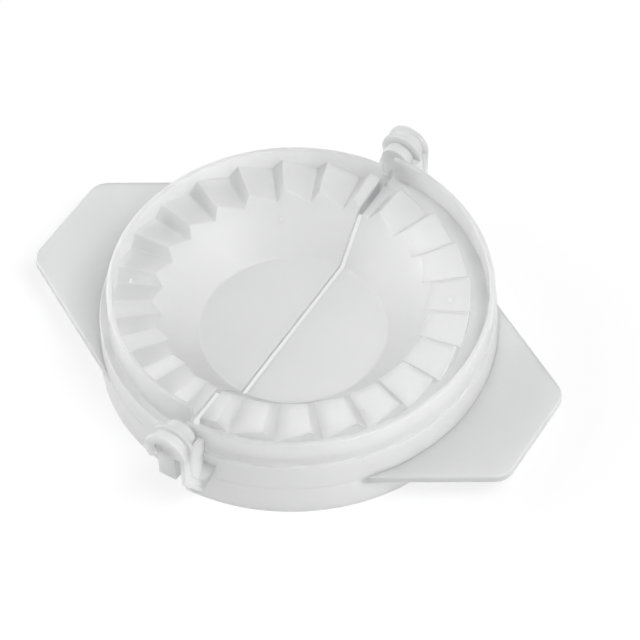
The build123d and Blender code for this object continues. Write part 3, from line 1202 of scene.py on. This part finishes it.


# ---- marks left by the mould, and a streak on a facet's edge --------------------------------
@dataclass(frozen=True)
class MouldMark:
    """Shallow round button: ejector and gate marks of the mould, and a darker facet-edge streak."""

    name: str
    half: Half
    azimuth: float
    radius: float
    size: float
    proud: float
    stretch: float = 1.0
    lean: float = 0.0
    sunk: float = 2.0
    points: int = 40

    def build(self, bowl: Bowl) -> bpy.types.Object:
        """Make the button on the surface under it.

        Its height falls from the middle as 1 - (distance / size)^2 over rings of growing distance,
        and its last ring goes below the surface.

        Args:
            bowl: sizes of the bowl that carries the mark.

        Returns:
            The finished piece.
        """
        share = np.concatenate([[0.05], np.linspace(0.15, 1.0, 8), [1.0]])
        height = self.proud * (1 - share ** 2)
        height[-1] = -self.sunk * self.proud
        turn = np.linspace(0, 2 * math.pi, self.points, endpoint=False)
        middle, outward, across, normal = self.seat(bowl)
        lean = math.radians(self.lean)
        first = outward * math.cos(lean) + across * math.sin(lean)
        second = across * math.cos(lean) - outward * math.sin(lean)
        flat = (np.cos(turn)[:, None] * first * self.stretch + np.sin(turn)[:, None] * second)
        rings = (middle + share[:, None, None] * self.size * flat[None]
                 + height[:, None, None] * normal)
        piece = make_piece(self.name, *lofted(rings), MARK_FACE)
        return settle(piece, self.half.body)

    def seat(self, bowl: Bowl) -> tuple[np.ndarray, np.ndarray, np.ndarray, np.ndarray]:
        """Middle of the mark and the outward, sideways and normal directions of its surface.

        The surface's slope is taken over a hundredth of a millimetre each way.

        Args:
            bowl: sizes of the bowl that carries the mark.

        Returns:
            The middle, and three unit vectors.
        """
        step = 0.01

        def surface(radius: float, azimuth: float) -> np.ndarray:
            """Point of the bowl or the teeth above a place on the table.

            Args:
                radius: distance from the Z axis.
                azimuth: in degrees.

            Returns:
                The point.
            """
            rise = bowl.rise(np.array([azimuth]), self.half)[0]
            wall = bowl.floor_z + bowl.slope * (radius - bowl.floor_r)
            height = min(wall, bowl.seat_z + rise * radius)
            turn = math.radians(azimuth)
            return np.array([radius * math.cos(turn), radius * math.sin(turn), height])

        turn_step = math.degrees(step / self.radius)
        middle = surface(self.radius, self.azimuth)
        outward = unit(surface(self.radius + step, self.azimuth) - middle)
        across = unit(surface(self.radius, self.azimuth + turn_step) - middle)
        return middle, outward, across, unit(np.cross(outward, across))


MARKS = (
    MouldMark("hook_half_ejector_mark", Half.HOOK, 29.5, 33.5, 0.6, 0.03),
    MouldMark("hook_half_gate_mark", Half.HOOK, -32.7, 33.5, 0.25, 0.05),
    # A darker, stretched button on the edge of a facet of the pin half.
    MouldMark("pin_half_facet_edge_streak", Half.PIN, -148.0, 34.0, 0.3, 0.04, 2.6, 60.0),
    MouldMark("pin_half_bowl_mark", Half.PIN, 127.0, 25.6, 0.65, 0.03),
)


# ---- stage ----------------------------------------------------------------------------------
@dataclass(frozen=True)
class Lamp:
    """Square soft lamp, placed by its azimuth from +X and its elevation, in degrees and metres."""

    name: str
    azimuth: float
    elevation: float
    power: float
    size: float = 0.5
    distance: float = 0.9


LAMPS = (
    Lamp("key", 0.0, 60.0, 6.0),
    Lamp("fill_left", 205.0, 30.0, 3.1),
    Lamp("fill_left_low", 180.0, 8.0, 5.0),
    Lamp("fill_right_low", 0.0, 8.0, 3.1),
)


@dataclass(frozen=True)
class Studio:
    """Camera, floor, backdrop and lights."""

    azimuth: float = 31.67
    elevation: float = 50.46
    roll: float = -0.92
    distance: float = 0.61258
    focal_px: float = 2867.31
    frame_px: float = 640.0
    target: tuple[float, float, float] = (0.00599, 0.00130, 0.011)
    world_strength: float = 0.20
    floor_half: float = 3.0
    floor_white: float = 0.95
    floor_glow: float = 0.75

    def camera(self) -> None:
        """Place the camera by its azimuth and elevation about the target, with a slight roll."""
        az, el, roll = (math.radians(v) for v in (self.azimuth, self.elevation, self.roll))
        back = Vector((math.sin(az) * math.cos(el), -math.cos(az) * math.cos(el), math.sin(el)))
        level = Vector((0, 0, 1)).cross(back).normalized()
        up = back.cross(level)
        right = level * math.cos(roll) + up * math.sin(roll)
        top = up * math.cos(roll) - level * math.sin(roll)
        data = bpy.data.cameras.new("camera")
        data.sensor_width = 36.0
        data.lens = self.focal_px * data.sensor_width / self.frame_px
        data.clip_end = 10.0
        camera = bpy.data.objects.new("camera", data)
        place = Vector(self.target) + back * self.distance
        camera.matrix_world = Matrix((
            (right.x, top.x, back.x, place.x), (right.y, top.y, back.y, place.y),
            (right.z, top.z, back.z, place.z), (0, 0, 0, 1)))
        bpy.context.scene.collection.objects.link(camera)
        bpy.context.scene.camera = camera

    def white_view(self, tree: bpy.types.NodeTree, plain: bpy.types.NodeSocket, glow: str,
                   share: float, output: bpy.types.NodeSocket) -> None:
        """Mix plain white into what the camera, gloss and glass see, and leave the rest plain.

        Args:
            tree: the material's or the world's nodes.
            plain: output of the plain shader.
            glow: type of the white shader's node.
            share: how much of the white is mixed in.
            output: where the result goes.
        """
        b = NodeBuilder(tree)
        path = b.add("ShaderNodeLightPath")
        either = b.add("ShaderNodeMath", operation="MAXIMUM")
        seen = b.add("ShaderNodeMath", operation="MAXIMUM")
        b.join(path.outputs["Is Camera Ray"], either.inputs[0])
        b.join(path.outputs["Is Glossy Ray"], either.inputs[1])
        b.join(either.outputs["Value"], seen.inputs[0])
        b.join(path.outputs["Is Transmission Ray"], seen.inputs[1])
        part = b.add("ShaderNodeMath", operation="MULTIPLY")
        b.join(seen.outputs["Value"], part.inputs[0])
        part.inputs[1].default_value = share
        white = b.add(glow)
        white.inputs["Strength"].default_value = 1.0
        white.inputs["Color"].default_value = (1, 1, 1, 1)
        mix = b.add("ShaderNodeMixShader")
        b.join(part.outputs["Value"], mix.inputs["Fac"])
        b.join(plain, mix.inputs[1])
        b.join(white.outputs[0], mix.inputs[2])
        b.join(mix.outputs["Shader"], output)

    def world(self) -> None:
        """Even dim light from all round, with a white look to the camera."""
        world = bpy.data.worlds.new("studio")
        bpy.context.scene.world = world
        world.use_nodes = True
        plain = world.node_tree.nodes["Background"]
        plain.inputs["Color"].default_value = (1.0, 1.0, 1.0, 1)
        plain.inputs["Strength"].default_value = self.world_strength
        output = world.node_tree.nodes["World Output"].inputs["Surface"]
        self.white_view(world.node_tree, plain.outputs["Background"], "ShaderNodeBackground",
                        1.0, output)

    def floor(self) -> None:
        """Wide white floor at table height."""
        size = self.floor_half
        mesh = bpy.data.meshes.new("floor")
        mesh.from_pydata([(-size, -size, 0), (size, -size, 0), (size, size, 0), (-size, size, 0)],
                         [], [(0, 1, 2, 3)])
        material = bpy.data.materials.new("floor_white")
        material.use_nodes = True
        shader = material.node_tree.nodes["Principled BSDF"]
        shader.inputs["Base Color"].default_value = (*[self.floor_white] * 3, 1)
        shader.inputs["Roughness"].default_value = 0.9
        output = material.node_tree.nodes["Material Output"].inputs["Surface"]
        self.white_view(material.node_tree, shader.outputs["BSDF"], "ShaderNodeEmission",
                        self.floor_glow, output)
        mesh.materials.append(material)
        floor = bpy.data.objects.new("floor", mesh)
        bpy.context.scene.collection.objects.link(floor)

    def lamp(self, lamp: Lamp) -> None:
        """Hang a square soft lamp round the object, facing it.

        Args:
            lamp: which lamp.
        """
        turn, lift = math.radians(lamp.azimuth), math.radians(lamp.elevation)
        data = bpy.data.lights.new(lamp.name, "AREA")
        data.size = lamp.size
        data.energy = lamp.power
        hung = bpy.data.objects.new(lamp.name, data)
        hung.location = lamp.distance * Vector((
            math.cos(lift) * math.cos(turn), math.cos(lift) * math.sin(turn), math.sin(lift)))
        toward = Vector((0, 0, 0.01)) - hung.location
        hung.rotation_euler = toward.to_track_quat("-Z", "Y").to_euler()
        bpy.context.scene.collection.objects.link(hung)

    def build(self) -> None:
        """Set up the whole stage."""
        self.camera()
        self.world()
        self.floor()
        for lamp in LAMPS:
            self.lamp(lamp)
        bpy.context.scene.view_settings.view_transform = "Standard"


def main(frame: dict) -> None:
    """Build every sub-assembly in order, then the stage, and log the frame's node count.

    Args:
        frame: the loaded CAD frame.
    """
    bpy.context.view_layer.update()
    log.info("frame has %d nodes", len(frame["nodes"]))
    hook = HookShell(Half.HOOK)
    piece = make_piece("hook_half_shell", *hook.surface(), MOULD_FACE)
    settle(piece, Half.HOOK.body, "hook_half_lip", "hook_half_seat", "hook_half_skirt",
           "hook_half_floor", "hook_half_bowl", "hook_half_teeth")
    pin = PinShell(Half.PIN)
    piece = make_piece("pin_half_shell", *pin.surface(), MOULD_FACE)
    settle(piece, Half.PIN.body, "pin_half_rim", "pin_half_skirt", "pin_half_floor",
           "pin_half_bowl", "pin_half_teeth")
    for half in Half:
        Handle(half).build()
    for end in End:
        Knuckle(end).build()
    for mark in MARKS:
        mark.build(hook.bowl)
    Studio().build()


if __name__ == "__main__":
    logging.basicConfig(level=logging.INFO, format="%(name)s: %(message)s")
    main(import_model())
